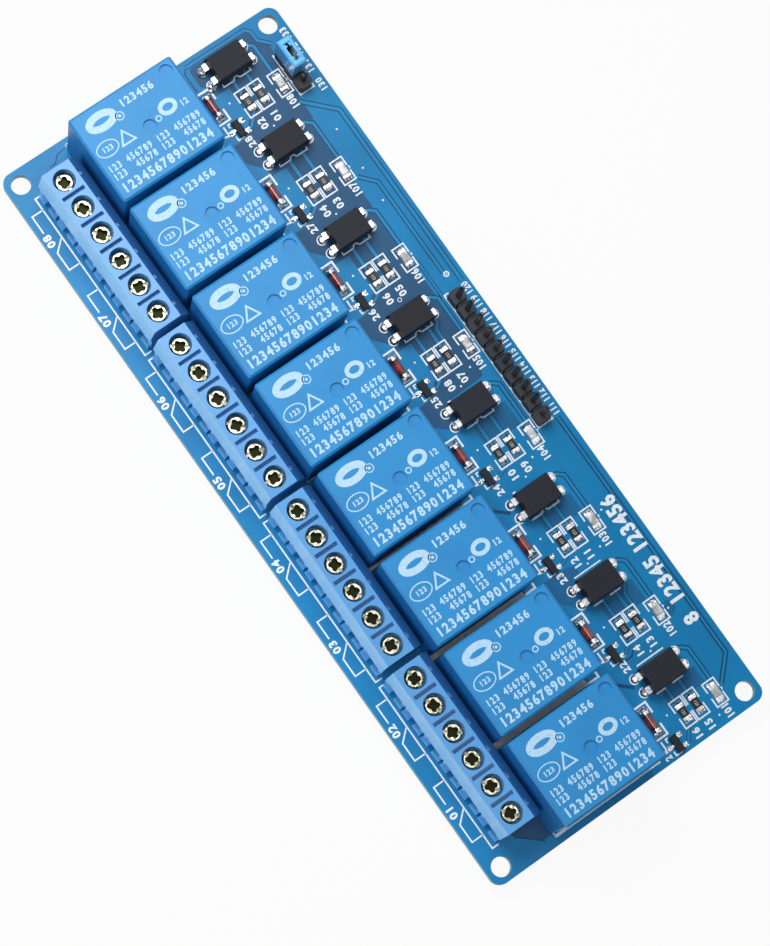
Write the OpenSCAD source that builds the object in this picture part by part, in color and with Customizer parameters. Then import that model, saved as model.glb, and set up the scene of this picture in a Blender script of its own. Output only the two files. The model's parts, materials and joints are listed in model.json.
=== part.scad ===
// Eight-channel relay module board: sealed relays, screw terminals and driver
// circuits on one blue circuit board.
// Origin: centre of the four mounting holes on the underside of the board.
// +X runs along the row of relays, +Y from the screw terminals to the pin
// headers, +Z up out of the component side.

/* [Board] */
// thickness of the board
board_t = 1.6; // [1.2:0.1:2.4]
// radius of the board corners
board_corner_r = 1.8; // [1:0.1:5]
// diameter of a mounting hole
hole_d = 3.2; // [2.5:0.1:4.5]
// distance from a mounting hole's centre to each edge
hole_inset = 2.5; // [2:0.1:4]
// bare strip in front of the terminal blocks
front_strip = 3.8; // [3:0.1:6]
// length of pin left under the board after trimming
tail = 1.8; // [1.2:0.1:2.5]

/* [Relays] */
// width of a relay along the row
relay_w = 15.4; // [14:0.1:18]
// length of a relay across the board
relay_l = 19; // [17:0.1:22]
// height of a relay above the board
relay_h = 15.3; // [12:0.1:18]
// gap between neighbouring relays
relay_space = 1.18; // [0.8:0.02:3]
// bevel round the top of a relay cover
relay_bevel = 0.35; // [0.1:0.05:0.8]
// radius of the upright edges of a relay cover
relay_corner_r = 0.5; // [0.2:0.1:1.5]
// diameter of the round sinks on a relay cover
sink_d = 2.2; // [1.5:0.1:3]

/* [Terminals] */
// distance between neighbouring terminal screws
pole_pitch = 5; // [4.8:0.02:6]
// height of a terminal block above the board
block_h = 10; // [9.5:0.1:12]
// gap between neighbouring terminal blocks
block_space = 1.2; // [0.6:0.1:3]
// diameter of the well over a terminal screw
well_d = 3.6; // [3.2:0.1:4]
// diameter of a terminal screw head
screw_head_d = 3; // [2.6:0.1:3.1]
// depth of a screw head below the top of its block
screw_sink = 1.5; // [0.5:0.1:2]

/* [Optocouplers] */
// width of an optocoupler body along the board
opto_w = 4.6; // [4.2:0.1:5.2]
// length of an optocoupler body across the board
opto_l = 6.4; // [6:0.1:6.8]
// height of an optocoupler body
opto_h = 3.4; // [2.5:0.1:4.5]

/* [Headers] */
// pitch of the header pins
pin_pitch = 2.54; // [2.5:0.02:2.6]
// side of a square header pin
pin_w = 0.64; // [0.5:0.02:0.8]
// height of the header bases
header_h = 2.5; // [2:0.1:3.5]
// length of pin above a header base
pin_up = 6; // [5:0.1:9]
// height of the jumper cap
cap_h = 5; // [4:0.1:6]

/* [Small parts] */
// length of a chip resistor or lamp between its solder ends
chip_l = 2.5; // [2:0.1:3]
// width of a chip resistor or lamp
chip_w = 1.3; // [1:0.05:1.6]
// length of the diode glass between its end caps
glass_l = 2.7; // [2:0.1:3]
// diameter of the diode glass
glass_d = 1.4; // [1.1:0.05:1.6]
// width of a driver transistor body
transistor_w = 2.9; // [2.5:0.1:3.2]

/* [Hidden] */
$fn = 48;
eps = 0.01;
channels = 8;
blocks = 4;
poles = 6;
relay_pitch = relay_w + relay_space;
block_l = poles * pole_pitch;
block_pitch = block_l + block_space;
relay_row_l = channels * relay_pitch - relay_space;
block_row_l = blocks * block_pitch - block_space;
relay_margin = 1.77;
block_margin = 5.7;
board_l = max(relay_row_l + 2 * relay_margin, block_row_l + 2 * block_margin);
channel_pitch = relay_pitch + 0.4;

// profile of a terminal block about its screw axis
lip_front = 3.25;
rear_face = 4.3;
block_depth = lip_front + rear_face;
top_half = 2.45;
floor_t = 0.9;
cage_w = pole_pitch - 1.2;
cage_l = 3.6;
cage_gap = 0.05;
roof_z = block_h - 3.7;
entry_z = floor_t + 0.6;
sill_gap = 1;
shoulder_z = block_h - 3.1;
screw_d = 2.4;
thread_gap = 0.03;
contact_z = 3.6;
contact_t = 0.6;
terminal_leg = 0.8;
leg_gap = 0.05;

// rows across the board, measured from the screw-terminal edge
relay_gap = 0.35;
diode_off = 3.95;
opto_off = 5.95;
lamp_off = 5.4;
header_off = 8.2;
back_strip = 3.7;
board_w = front_strip + block_depth + relay_gap + relay_l + diode_off
    + opto_off + header_off + back_strip;
screw_y = -board_w / 2 + front_strip + lip_front;
relay_front = screw_y + rear_face + relay_gap;
relay_y = relay_front + relay_l / 2;
diode_y = relay_front + relay_l + diode_off;
transistor_y = diode_y + 1.5;
opto_y = diode_y + opto_off;
resistor_y = [opto_y - 0.7, opto_y + 1.8];
lamp_y = opto_y + lamp_off;
header_y = opto_y + header_off;
hole_x = board_l / 2 - hole_inset;
hole_y = board_w / 2 - hole_inset;

// the hand-placed parts of each channel stand a little off their even pitch
opto_shift = [0.9, -0.45, -0.1, 0, -0.25, 0.4, 0, -0.2];
chip_shift = [-0.4, -0.1, 0.1, 0, 0.35, 0.3, 0.15, -0.95];
lamp_shift = [-0.4, -0.05, 0.05, -0.1, 0.5, 0.1, 0.45, -0.8];
block_turn = [0.5, 0.3, -0.4, 0.3];
screw_turn = [12, 71, 38, 5, 83, 52, 64, 27, 40, 78, 18, 57];

function relay_x(i) = (i - 3.5) * relay_pitch - 0.28;
function block_x(i) = (i - 1.5) * block_pitch - 0.4;
function channel_x(i) = (i - 3.5) * channel_pitch;
function opto_x(i) = channel_x(i) - 4.4 + opto_shift[i];
function diode_x(i) = channel_x(i) + 0.9;
function transistor_x(i) = channel_x(i) + 6;
function resistor_x(i) = channel_x(i) + 3.6 + chip_shift[i];
function lamp_x(i) = channel_x(i) + 3.85 + lamp_shift[i];
function pole_x(j) = (j - (poles - 1) / 2) * pole_pitch;

// relay pins about the centre of a relay: two coil, one common, two contacts
relay_pin_at = [[-6, 5.6], [6, 5.6], [0, 7.4], [-6, -6.6], [6, -6.6]];
relay_pin = [1, 0.6];
relay_foot = 0.3;
relay_pin_in = 1;
sink_deep = 0.4;

opto_rows = 3.81;
opto_lead_t = 0.25;
opto_lead_w = 0.5;
opto_shoulder_w = 1.15;
opto_stand = 0.5;
opto_mid = opto_stand + opto_h / 2;

header_w = 2.4;
input_pins = 10;
power_pins = 3;
input_x = -0.07;
power_inset = 11.02;
power_x = -board_l / 2 + power_inset;
cap_x = power_x - pin_pitch / 2;
cap_w = 2.4;
cap_l = 2 * pin_pitch - 0.1;
clip_t = 0.2;

board_top = board_t;

// ---------------------------------------------------------------- helpers

// rounded rectangle in the plane, centred
module round_rect(l, w, r) {
    square([l - 2 * r, w], center = true);
    square([l, w - 2 * r], center = true);
    for (sx = [-1, 1], sy = [-1, 1])
        translate([sx * (l / 2 - r), sy * (w / 2 - r)]) circle(r);
}

// block with all four top edges bevelled, standing on z = 0
module bevelled_block(l, w, h, c) {
    intersection() {
        rotate([90, 0, 0])
            linear_extrude(w, center = true)
                polygon([[-l / 2, 0], [l / 2, 0], [l / 2, h - c],
                    [l / 2 - c, h], [-l / 2 + c, h], [-l / 2, h - c]]);
        rotate([90, 0, 90])
            linear_extrude(l, center = true)
                polygon([[-w / 2, 0], [w / 2, 0], [w / 2, h - c],
                    [w / 2 - c, h], [-w / 2 + c, h], [-w / 2, h - c]]);
    }
}

// moulded body, widest at mid height and drawn in by d above and below
module drafted_block(l, w, h, d) {
    intersection() {
        rotate([90, 0, 0])
            linear_extrude(w, center = true)
                polygon([[-l / 2 + d, 0], [l / 2 - d, 0], [l / 2, h / 2],
                    [l / 2 - d, h], [-l / 2 + d, h], [-l / 2, h / 2]]);
        rotate([90, 0, 90])
            linear_extrude(l, center = true)
                polygon([[-w / 2 + d, 0], [w / 2 - d, 0], [w / 2, h / 2],
                    [w / 2 - d, h], [-w / 2 + d, h], [-w / 2, h / 2]]);
    }
}

// square pin from z0 to z1 with both ends drawn to a small flat
module square_pin(w, z0, z1) {
    t = w * 0.3;
    side = [[-w / 2 + t, z0], [w / 2 - t, z0], [w / 2, z0 + 1.5 * t],
        [w / 2, z1 - 1.5 * t], [w / 2 - t, z1], [-w / 2 + t, z1],
        [-w / 2, z1 - 1.5 * t], [-w / 2, z0 + 1.5 * t]];
    intersection() {
        rotate([90, 0, 0]) linear_extrude(w, center = true) polygon(side);
        rotate([90, 0, 90]) linear_extrude(w, center = true) polygon(side);
    }
}

// upright bar of section l by w from z0 to z1
module bar(l, w, z0, z1) {
    translate([-l / 2, -w / 2, z0]) cube([l, w, z1 - z0]);
}

// cone of solder under the board round a pin of section l by w
module under_solder(l, w, r) {
    difference() {
        translate([0, 0, -tail * 0.72]) cylinder(h = tail * 0.72, r1 = r * 0.62, r2 = r);
        bar(l, w, -tail, eps);
    }
}

// ---------------------------------------------------------------- places

module at_relays() {
    for (i = [0:channels - 1])
        translate([relay_x(i), relay_y, board_top]) children();
}

module at_relay_pins() {
    for (p = relay_pin_at) translate([p[0], p[1], 0]) children();
}

module at_block(i) {
    translate([block_x(i), screw_y, board_top]) rotate([0, 0, block_turn[i]]) children();
}

module at_poles() {
    for (j = [0:poles - 1]) translate([pole_x(j), 0, 0]) children();
}

module at_opto(i) {
    translate([opto_x(i), opto_y, board_top]) children();
}

module at_opto_leads() {
    for (sx = [-1, 1], sy = [-1, 1])
        translate([sx * 1.27, 0, 0]) rotate([0, 0, sy > 0 ? 0 : 180]) children();
}

module at_input_pins() {
    for (k = [0:input_pins - 1])
        translate([input_x + (k - (input_pins - 1) / 2) * pin_pitch, header_y, 0]) children();
}

module at_power_pins() {
    for (k = [0:power_pins - 1])
        translate([power_x + (k - (power_pins - 1) / 2) * pin_pitch, header_y, 0]) children();
}

// ---------------------------------------------------------------- board

module circuit_board() {
    color([0.12, 0.44, 0.68])
    difference() {
        linear_extrude(board_t) round_rect(board_l, board_w, board_corner_r);
        for (sx = [-1, 1], sy = [-1, 1])
            translate([sx * hole_x, sy * hole_y, -1]) cylinder(h = board_t + 2, d = hole_d);
        for (i = [0:channels - 1], p = relay_pin_at)
            translate([relay_x(i) + p[0], relay_y + p[1], -1])
                cylinder(h = board_t + 2, d = 1.4, $fn = 24);
        for (i = [0:blocks - 1])
            at_block(i) at_poles()
                translate([0, leg_y(), -board_t - 1]) cylinder(h = board_t + 2, d = 1.4, $fn = 24);
        for (i = [0:channels - 1], sx = [-1, 1], sy = [-1, 1])
            translate([opto_x(i) + sx * 1.27, opto_y + sy * opto_rows, -1])
                cylinder(h = board_t + 2, d = 0.9, $fn = 24);
        at_input_pins() translate([0, 0, -1]) cylinder(h = board_t + 2, d = 1.02, $fn = 24);
        at_power_pins() translate([0, 0, -1]) cylinder(h = board_t + 2, d = 1.02, $fn = 24);
    }
}

// ---------------------------------------------------------------- relays

module relay(i) {
    color([0.20, 0.49, 0.80])
    translate([relay_x(i), relay_y, board_top])
    difference() {
        union() {
            translate([0, 0, relay_foot]) intersection() {
                bevelled_block(relay_w, relay_l, relay_h - relay_foot, relay_bevel);
                linear_extrude(relay_h) round_rect(relay_w, relay_l, relay_corner_r);
            }
            // four standing feet under the base
            for (sx = [-1, 1], sy = [-1, 1])
                translate([sx * (relay_w / 2 - 1.4), sy * (relay_l / 2 - 5.2), 0])
                    cylinder(h = relay_foot + eps, d = 1.6, $fn = 24);
        }
        // round sinks in the top: vent by the corner, gate mark near the middle
        translate([-relay_w / 2 + 1.8, relay_l / 2 - 1.9, relay_h - sink_deep])
            cylinder(h = 1, d = sink_d);
        translate([-0.05, 0.6, relay_h - sink_deep]) cylinder(h = 1, d = sink_d);
        // joint line between the cover and its base plate
        translate([0, 0, 1.3]) linear_extrude(0.15) difference() {
            square([relay_w + 1, relay_l + 1], center = true);
            round_rect(relay_w - 0.3, relay_l - 0.3, relay_corner_r - 0.15);
        }
        // pockets the pins are potted in
        at_relay_pins() bar(relay_pin[0], relay_pin[1], -eps, relay_foot + relay_pin_in);
    }
}

module relay_pins() {
    color([0.78, 0.79, 0.80])
    at_relays() at_relay_pins()
        bar(relay_pin[0], relay_pin[1], -board_t - tail, relay_foot + relay_pin_in);
}

// ---------------------------------------------------------------- terminals

function leg_y() = cage_l / 2 + 0.15 + terminal_leg / 2;

module terminal_block(i) {
    color([0.33, 0.60, 0.90])
    at_block(i)
    difference() {
        union() {
            // housing: shallow sloped front, flat top, sloped back
            rotate([90, 0, 90])
                linear_extrude(block_l, center = true)
                    polygon([[-2.75, 0], [rear_face, 0], [rear_face, block_h - 3.5],
                        [top_half, block_h], [-top_half, block_h],
                        [-lip_front + 0.1, block_h - 5], [-2.75, block_h - 5.15]]);
            // sill under each wire entry: a high and a low ledge with a gap between
            at_poles() {
                translate([sill_gap / 2, -lip_front, 0]) cube([1.9, lip_front - 2, entry_z]);
                translate([-sill_gap / 2 - 1.7, -lip_front, 0])
                    cube([1.7, lip_front - 2, entry_z - 0.5]);
            }
        }
        at_poles() {
            // well over the screw, narrowing to a shoulder its head stands on
            translate([0, 0, shoulder_z]) cylinder(h = block_h, d = well_d);
            translate([0, 0, roof_z - eps]) cylinder(h = block_h, d = screw_d + 0.5);
            // room for the cage, open to the wire entry
            translate([-cage_w / 2 - cage_gap, -cage_l / 2 - 0.1, floor_t])
                cube([cage_w + 2 * cage_gap, cage_l + 1.25, roof_z - floor_t]);
            // wire entry, flared at its mouth
            translate([-1.55, -lip_front - 1, entry_z]) cube([3.1, 3, 2.7]);
            rotate([90, 0, 90])
                linear_extrude(3.4, center = true)
                    polygon([[-lip_front - 1, entry_z], [-2.1, entry_z],
                        [-2.1, entry_z + 2.6], [-2.6, entry_z + 3.15],
                        [-lip_front - 1, entry_z + 3.15]]);
            // gap between the two ledges, cut a little way into the housing
            translate([-sill_gap / 2, -lip_front - 1, -1])
                cube([sill_gap, lip_front - 1.3, entry_z + 1 + eps]);
            // way down for the leg of the contact
            translate([0, leg_y(), 0])
                bar(terminal_leg + 2 * leg_gap, terminal_leg + 2 * leg_gap, -1, floor_t + 1);
            // window in the sloped back
            translate([-0.5, top_half + 0.1, block_h - 2]) cube([1, 0.6, 3]);
        }
        // narrow slots across the top and gaps under the front, between poles
        for (j = [0:poles - 2])
            translate([pole_x(j) + pole_pitch / 2, 0, 0]) {
                translate([-0.31, -2.03, block_h - 1.8]) cube([0.62, 4.06, 4]);
                translate([-0.1, -lip_front - 1, -1]) cube([0.4, 1.95, block_h - 4.15]);
            }
    }
}

// outline of the recess a cross-head driver fits
module driver_recess() {
    circle(d = 1.5, $fn = 24);
    for (a = [45, 135, 225, 315])
        rotate(a) translate([0.62, 0]) circle(d = 0.85, $fn = 24);
}

module terminal_screw(turn) {
    head_z = block_h - screw_sink;
    difference() {
        union() {
            translate([0, 0, shoulder_z]) cylinder(h = head_z - 0.25 - shoulder_z, d = screw_head_d);
            translate([0, 0, head_z - 0.25])
                cylinder(h = 0.25, d1 = screw_head_d, d2 = screw_head_d - 0.5);
            translate([0, 0, contact_z + contact_t])
                cylinder(h = shoulder_z - contact_z, d = screw_d);
        }
        rotate([0, 0, turn]) {
            // slot right across the rim, with a deep four-lobed recess at the middle
            translate([-screw_head_d, -0.28, head_z - 0.4]) cube([2 * screw_head_d, 0.56, 2]);
            translate([0, 0, head_z - 1.1]) linear_extrude(2) driver_recess();
        }
    }
}

module terminal_screws() {
    color([0.80, 0.79, 0.72])
    for (i = [0:blocks - 1], j = [0:poles - 1])
        at_block(i) translate([pole_x(j), 0, 0])
            terminal_screw(screw_turn[(i * 5 + j * 7) % 12]);
}

module terminal_cages() {
    color([0.72, 0.72, 0.68])
    for (i = [0:blocks - 1]) at_block(i) at_poles()
    difference() {
        translate([-cage_w / 2, -cage_l / 2, floor_t]) cube([cage_w, cage_l, roof_z - floor_t - 0.5]);
        // wire window right through, and the threaded bore for the screw
        translate([-cage_w / 2 + 0.5, -cage_l, floor_t + 0.6])
            cube([cage_w - 1, 2 * cage_l, contact_z + contact_t - floor_t - 0.6 + 0.2]);
        cylinder(h = block_h, d = screw_d + 2 * thread_gap);
    }
}

module terminal_contacts() {
    color([0.80, 0.78, 0.66])
    for (i = [0:blocks - 1]) at_block(i) at_poles() {
        // tongue the screw presses on, with its leg down through the board
        translate([-1.2, -1.5, contact_z]) cube([2.4, leg_y() + terminal_leg / 2 + 1.5, contact_t]);
        translate([0, leg_y(), 0])
            bar(terminal_leg, terminal_leg, -board_t - tail, contact_z + eps);
    }
}

// ---------------------------------------------------------------- couplers

// one lead on the +Y side: shoulder out of the body, then down
module opto_lead() {
    translate([0, opto_l / 2 - 0.5, opto_mid - opto_lead_t / 2])
        translate([-opto_shoulder_w / 2, 0, 0])
            cube([opto_shoulder_w, opto_rows - opto_l / 2 + 0.5 + opto_lead_t / 2, opto_lead_t]);
    translate([0, opto_rows, 0])
        bar(opto_shoulder_w, opto_lead_t, opto_stand, opto_mid + opto_lead_t / 2);
    translate([0, opto_rows, 0])
        bar(opto_lead_w, opto_lead_t, -board_t - tail, opto_stand + eps);
}

module optocoupler(i) {
    color([0.17, 0.17, 0.20])
    at_opto(i)
    difference() {
        translate([0, 0, opto_stand]) drafted_block(opto_w, opto_l, opto_h, 0.22);
        at_opto_leads() opto_lead();
        // pin-one dimple
        translate([opto_w / 2 - 1.2, opto_l / 2 - 1.2, opto_stand + opto_h - 0.1])
            cylinder(h = 1, d = 0.8, $fn = 24);
    }
}

module optocoupler_leads() {
    color([0.80, 0.81, 0.82])
    for (i = [0:channels - 1]) at_opto(i) at_opto_leads() opto_lead();
}

module optocoupler_solder() {
    color([0.83, 0.84, 0.85])
    for (i = [0:channels - 1]) at_opto(i) at_opto_leads() translate([0, opto_rows, 0]) {
        translate([0, 0, -board_t]) under_solder(opto_lead_w, opto_lead_t, 0.85);
        // low collar of solder on the component side
        difference() {
            cylinder(h = 0.4, r1 = 0.8, r2 = 0.45, $fn = 24);
            bar(opto_lead_w, opto_lead_t, -eps, 1);
        }
    }
}

// ---------------------------------------------------------------- small parts

transistor_h = transistor_w * 0.345;
transistor_l = transistor_w * 0.465;

module transistor_lead() {
    // gull wing on the +Y side
    rotate([90, 0, 90])
        linear_extrude(0.42, center = true)
            polygon([[0.4, 0.45], [0.78, 0.45], [0.85, 0], [1.25, 0], [1.25, 0.14],
                [0.97, 0.14], [0.9, 0.6], [0.4, 0.6]]);
}

module at_transistor_leads() {
    translate([-0.95, 0, 0]) children();
    translate([0.95, 0, 0]) children();
    rotate([0, 0, 180]) children();
}

module transistor_bodies() {
    color([0.13, 0.13, 0.15])
    for (i = [0:channels - 1]) translate([transistor_x(i), transistor_y, board_top])
        difference() {
            translate([0, 0, 0.08])
                drafted_block(transistor_w, transistor_l, transistor_h, 0.12);
            at_transistor_leads() transistor_lead();
        }
}

module transistor_leads() {
    color([0.82, 0.83, 0.84])
    for (i = [0:channels - 1]) translate([transistor_x(i), transistor_y, board_top])
        at_transistor_leads() transistor_lead();
}

cap_over = 0.08;
diode_cap_l = 0.5;

module diode_glass() {
    color([0.72, 0.24, 0.16])
    for (i = [0:channels - 1])
        translate([diode_x(i), diode_y, board_top + glass_d / 2 + cap_over])
            rotate([0, 90, 0]) cylinder(h = glass_l, d = glass_d, center = true);
}

module diode_caps() {
    color([0.80, 0.80, 0.80])
    for (i = [0:channels - 1], s = [-1, 1])
        translate([diode_x(i) + s * (glass_l + diode_cap_l) / 2, diode_y,
                board_top + glass_d / 2 + cap_over])
            rotate([0, 90, 0])
                cylinder(h = diode_cap_l, d = glass_d + 2 * cap_over, center = true);
}

chip_h = chip_w * 0.42;
chip_end = chip_l * 0.18;

module chip_body(h) {
    bar(chip_l - 2 * chip_end, chip_w, 0.04, h);
}

module chip_caps(h) {
    for (s = [-1, 1]) translate([s * (chip_l - chip_end) / 2, 0, 0])
        bar(chip_end, chip_w + 0.04, 0, h + 0.02);
}

module at_resistors() {
    for (i = [0:channels - 1], y = resistor_y)
        translate([resistor_x(i), y, board_top]) children();
}

module at_lamps() {
    for (i = [0:channels - 1]) translate([lamp_x(i), lamp_y, board_top]) children();
}

module resistor_bodies() {
    color([0.10, 0.10, 0.11]) at_resistors() chip_body(chip_h);
}

module resistor_caps() {
    color([0.85, 0.86, 0.87]) at_resistors() chip_caps(chip_h);
}

module lamp_bases() {
    color([0.93, 0.93, 0.90]) at_lamps() chip_body(0.4);
}

module lamp_lenses() {
    color([0.96, 0.97, 0.98]) at_lamps()
        translate([0, 0, 0.4]) bevelled_block(chip_l - 2 * chip_end, chip_w, 0.5, 0.15);
}

module lamp_caps() {
    color([0.86, 0.87, 0.88]) at_lamps() chip_caps(0.4);
}

// fillet of solder running from an end cap out onto its pad
module end_solder(half, w, h, run) {
    for (s = [0, 180]) rotate([0, 0, s])
        rotate([90, 0, 0])
            linear_extrude(w, center = true)
                polygon([[half, 0], [half + run, 0], [half + run, 0.06],
                    [half + run * 0.75, h * 0.5], [half + run * 0.35, h * 0.85], [half, h]]);
}

module chip_solder() {
    color([0.86, 0.87, 0.88]) {
        at_resistors() end_solder(chip_l / 2, chip_w, chip_h * 0.9, 0.6);
        at_lamps() end_solder(chip_l / 2, chip_w, 0.36, 0.5);
        for (i = [0:channels - 1]) translate([diode_x(i), diode_y, board_top])
            end_solder(glass_l / 2 + diode_cap_l, glass_d * 1.05, glass_d * 0.85, 0.8);
    }
}

// ---------------------------------------------------------------- headers

// moulded strip of n segments, each with its corners taken off
module header_base(n) {
    p = pin_pitch / 2;
    h = header_w / 2;
    difference() {
        for (k = [0:n - 1]) translate([(k - (n - 1) / 2) * pin_pitch, 0, 0])
            linear_extrude(header_h)
                polygon([[-p, -h + 0.45], [-p + 0.35, -h], [p - 0.35, -h], [p, -h + 0.45],
                    [p, h - 0.45], [p - 0.35, h], [-p + 0.35, h], [-p, h - 0.45]]);
        for (k = [0:n - 1]) translate([(k - (n - 1) / 2) * pin_pitch, 0, 0])
            bar(pin_w, pin_w, -1, header_h + 1);
        // shallow valleys across the top between segments
        for (k = [1:n - 1]) translate([(k - n / 2) * pin_pitch, 0, header_h])
            rotate([90, 0, 0]) linear_extrude(header_w + 1, center = true)
                polygon([[-0.3, eps], [-0.12, -0.4], [0.12, -0.4], [0.3, eps]]);
    }
}

module input_header_base() {
    color([0.13, 0.13, 0.15])
    translate([input_x, header_y, board_top]) header_base(input_pins);
}

module power_header_base() {
    color([0.13, 0.13, 0.15])
    translate([power_x, header_y, board_top]) header_base(power_pins);
}

module input_header_pins() {
    color([0.45, 0.42, 0.36])
    at_input_pins() square_pin(pin_w, -tail, board_top + header_h + pin_up);
}

module power_header_pins() {
    color([0.45, 0.42, 0.36])
    at_power_pins() square_pin(pin_w, -tail, board_top + header_h + cap_room - 0.1);
}

cap_room = cap_h - 0.7;

module jumper_cap() {
    color([0.25, 0.52, 0.88])
    translate([cap_x, header_y, board_top + header_h])
    difference() {
        bevelled_block(cap_l, cap_w, cap_h, 0.3);
        // room for the two pins and the clip that bridges them
        bar(pin_pitch + 1.9, pin_w + 2 * clip_t, -1, cap_room);
        // window over the clip, with a short cross bar at each end
        bar(3.2, 0.55, cap_room - eps, cap_h + 1);
        bar(1.7, 1.1, cap_room - eps, cap_h + 1);
        for (s = [-1, 1]) translate([s * 1.45, 0, 0]) bar(0.4, 1.3, cap_h - 0.4, cap_h + 1);
    }
}

module jumper_clip() {
    color([0.86, 0.85, 0.80])
    translate([cap_x, header_y, board_top + header_h])
    union() {
        // a tall and a short leaf either side of the pins, joined low between them
        translate([0, -(pin_w + clip_t) / 2, 0]) bar(pin_pitch + 1.7, clip_t, 0.4, cap_room);
        translate([0, (pin_w + clip_t) / 2, 0])
            bar(pin_pitch + 1.7, clip_t, 0.4, cap_room - 1.2);
        bar(pin_pitch - pin_w - 0.3, pin_w + clip_t, 0.4, cap_room - 2);
    }
}

module header_solder() {
    color([0.83, 0.84, 0.85]) {
        at_input_pins() header_joint();
        at_power_pins() header_joint();
    }
}

// solder cone clipped to the drawn-in end of the pin it wraps
module header_joint() {
    difference() {
        translate([0, 0, -tail * 0.66]) cylinder(h = tail * 0.66, r1 = 0.5, r2 = 0.85);
        bar(pin_w, pin_w, -tail, eps);
    }
}

module relay_solder() {
    color([0.83, 0.84, 0.85])
    at_relays() at_relay_pins()
        translate([0, 0, -board_t]) under_solder(relay_pin[0], relay_pin[1], 1.15);
}

module terminal_solder() {
    color([0.83, 0.84, 0.85])
    for (i = [0:blocks - 1]) at_block(i) at_poles()
        translate([0, leg_y(), -board_t]) under_solder(terminal_leg, terminal_leg, 1.15);
}

// ---------------------------------------------------------------- nodes

circuit_board();
relay(0);  // relay_8
relay(1);  // relay_7
relay(2);  // relay_6
relay(3);  // relay_5
relay(4);  // relay_4
relay(5);  // relay_3
relay(6);  // relay_2
relay(7);  // relay_1
relay_pins();
terminal_block(0);  // terminal_block_1
terminal_block(1);  // terminal_block_2
terminal_block(2);  // terminal_block_3
terminal_block(3);  // terminal_block_4
terminal_screws();
terminal_cages();
terminal_contacts();
optocoupler(0);  // optocoupler_8
optocoupler(1);  // optocoupler_7
optocoupler(2);  // optocoupler_6
optocoupler(3);  // optocoupler_5
optocoupler(4);  // optocoupler_4
optocoupler(5);  // optocoupler_3
optocoupler(6);  // optocoupler_2
optocoupler(7);  // optocoupler_1
optocoupler_leads();
transistor_bodies();
transistor_leads();
diode_glass();
diode_caps();
resistor_bodies();
resistor_caps();
lamp_bases();
lamp_lenses();
lamp_caps();
input_header_base();
input_header_pins();
power_header_base();
power_header_pins();
jumper_cap();
jumper_clip();
chip_solder();
relay_solder();
terminal_solder();
header_solder();
optocoupler_solder();
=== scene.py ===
"""Dressed model of an eight-channel relay module board.

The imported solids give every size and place. This script adds the finishes, the white print, the
copper under the solder mask, the marks on the relay covers and the small trim, then sets up a
plain studio. All sizes are in millimetres and are turned into metres when a piece is finished.
"""

from __future__ import annotations

import json
import logging
import math
from dataclasses import dataclass, field
from enum import Enum

import bmesh
import bpy
from mathutils import Matrix, Vector

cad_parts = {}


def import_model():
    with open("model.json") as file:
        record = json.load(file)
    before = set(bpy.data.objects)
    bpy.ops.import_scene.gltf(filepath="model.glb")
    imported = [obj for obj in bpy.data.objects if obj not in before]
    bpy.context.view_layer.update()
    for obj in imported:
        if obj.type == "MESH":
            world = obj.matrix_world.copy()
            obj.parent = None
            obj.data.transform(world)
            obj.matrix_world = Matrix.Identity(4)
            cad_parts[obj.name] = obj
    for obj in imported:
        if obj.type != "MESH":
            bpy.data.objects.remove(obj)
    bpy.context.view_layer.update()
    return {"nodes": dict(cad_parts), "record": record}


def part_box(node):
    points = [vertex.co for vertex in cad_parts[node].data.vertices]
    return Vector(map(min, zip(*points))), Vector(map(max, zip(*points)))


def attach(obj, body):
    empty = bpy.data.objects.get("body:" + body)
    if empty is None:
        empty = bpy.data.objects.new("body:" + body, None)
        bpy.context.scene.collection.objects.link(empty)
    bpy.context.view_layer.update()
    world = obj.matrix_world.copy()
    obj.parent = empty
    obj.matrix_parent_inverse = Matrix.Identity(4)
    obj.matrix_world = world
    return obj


LOG = logging.getLogger("relay_board")
MM = 0.001
BODY = "root"
# The font's digits: their height at size 1, and how far their strokes are widened.
DIGIT_HEIGHT = 0.73
DIGIT_SPREAD = 0.04
# Least cosine that a line's corner is widened by, so that a sharp corner stays short.
MITRE_LIMIT = 0.35
Point = tuple[float, float]
Place = tuple[float, float, float]
Colour = tuple[float, float, float]


class Turn(Enum):
    """Which way up a printed number stands, as degrees about +Z."""

    UPRIGHT = 0.0
    UPSIDE_DOWN = 180.0
    ALONG_Y = 90.0


# ------------------------------------------------------------------ finishes


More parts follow.
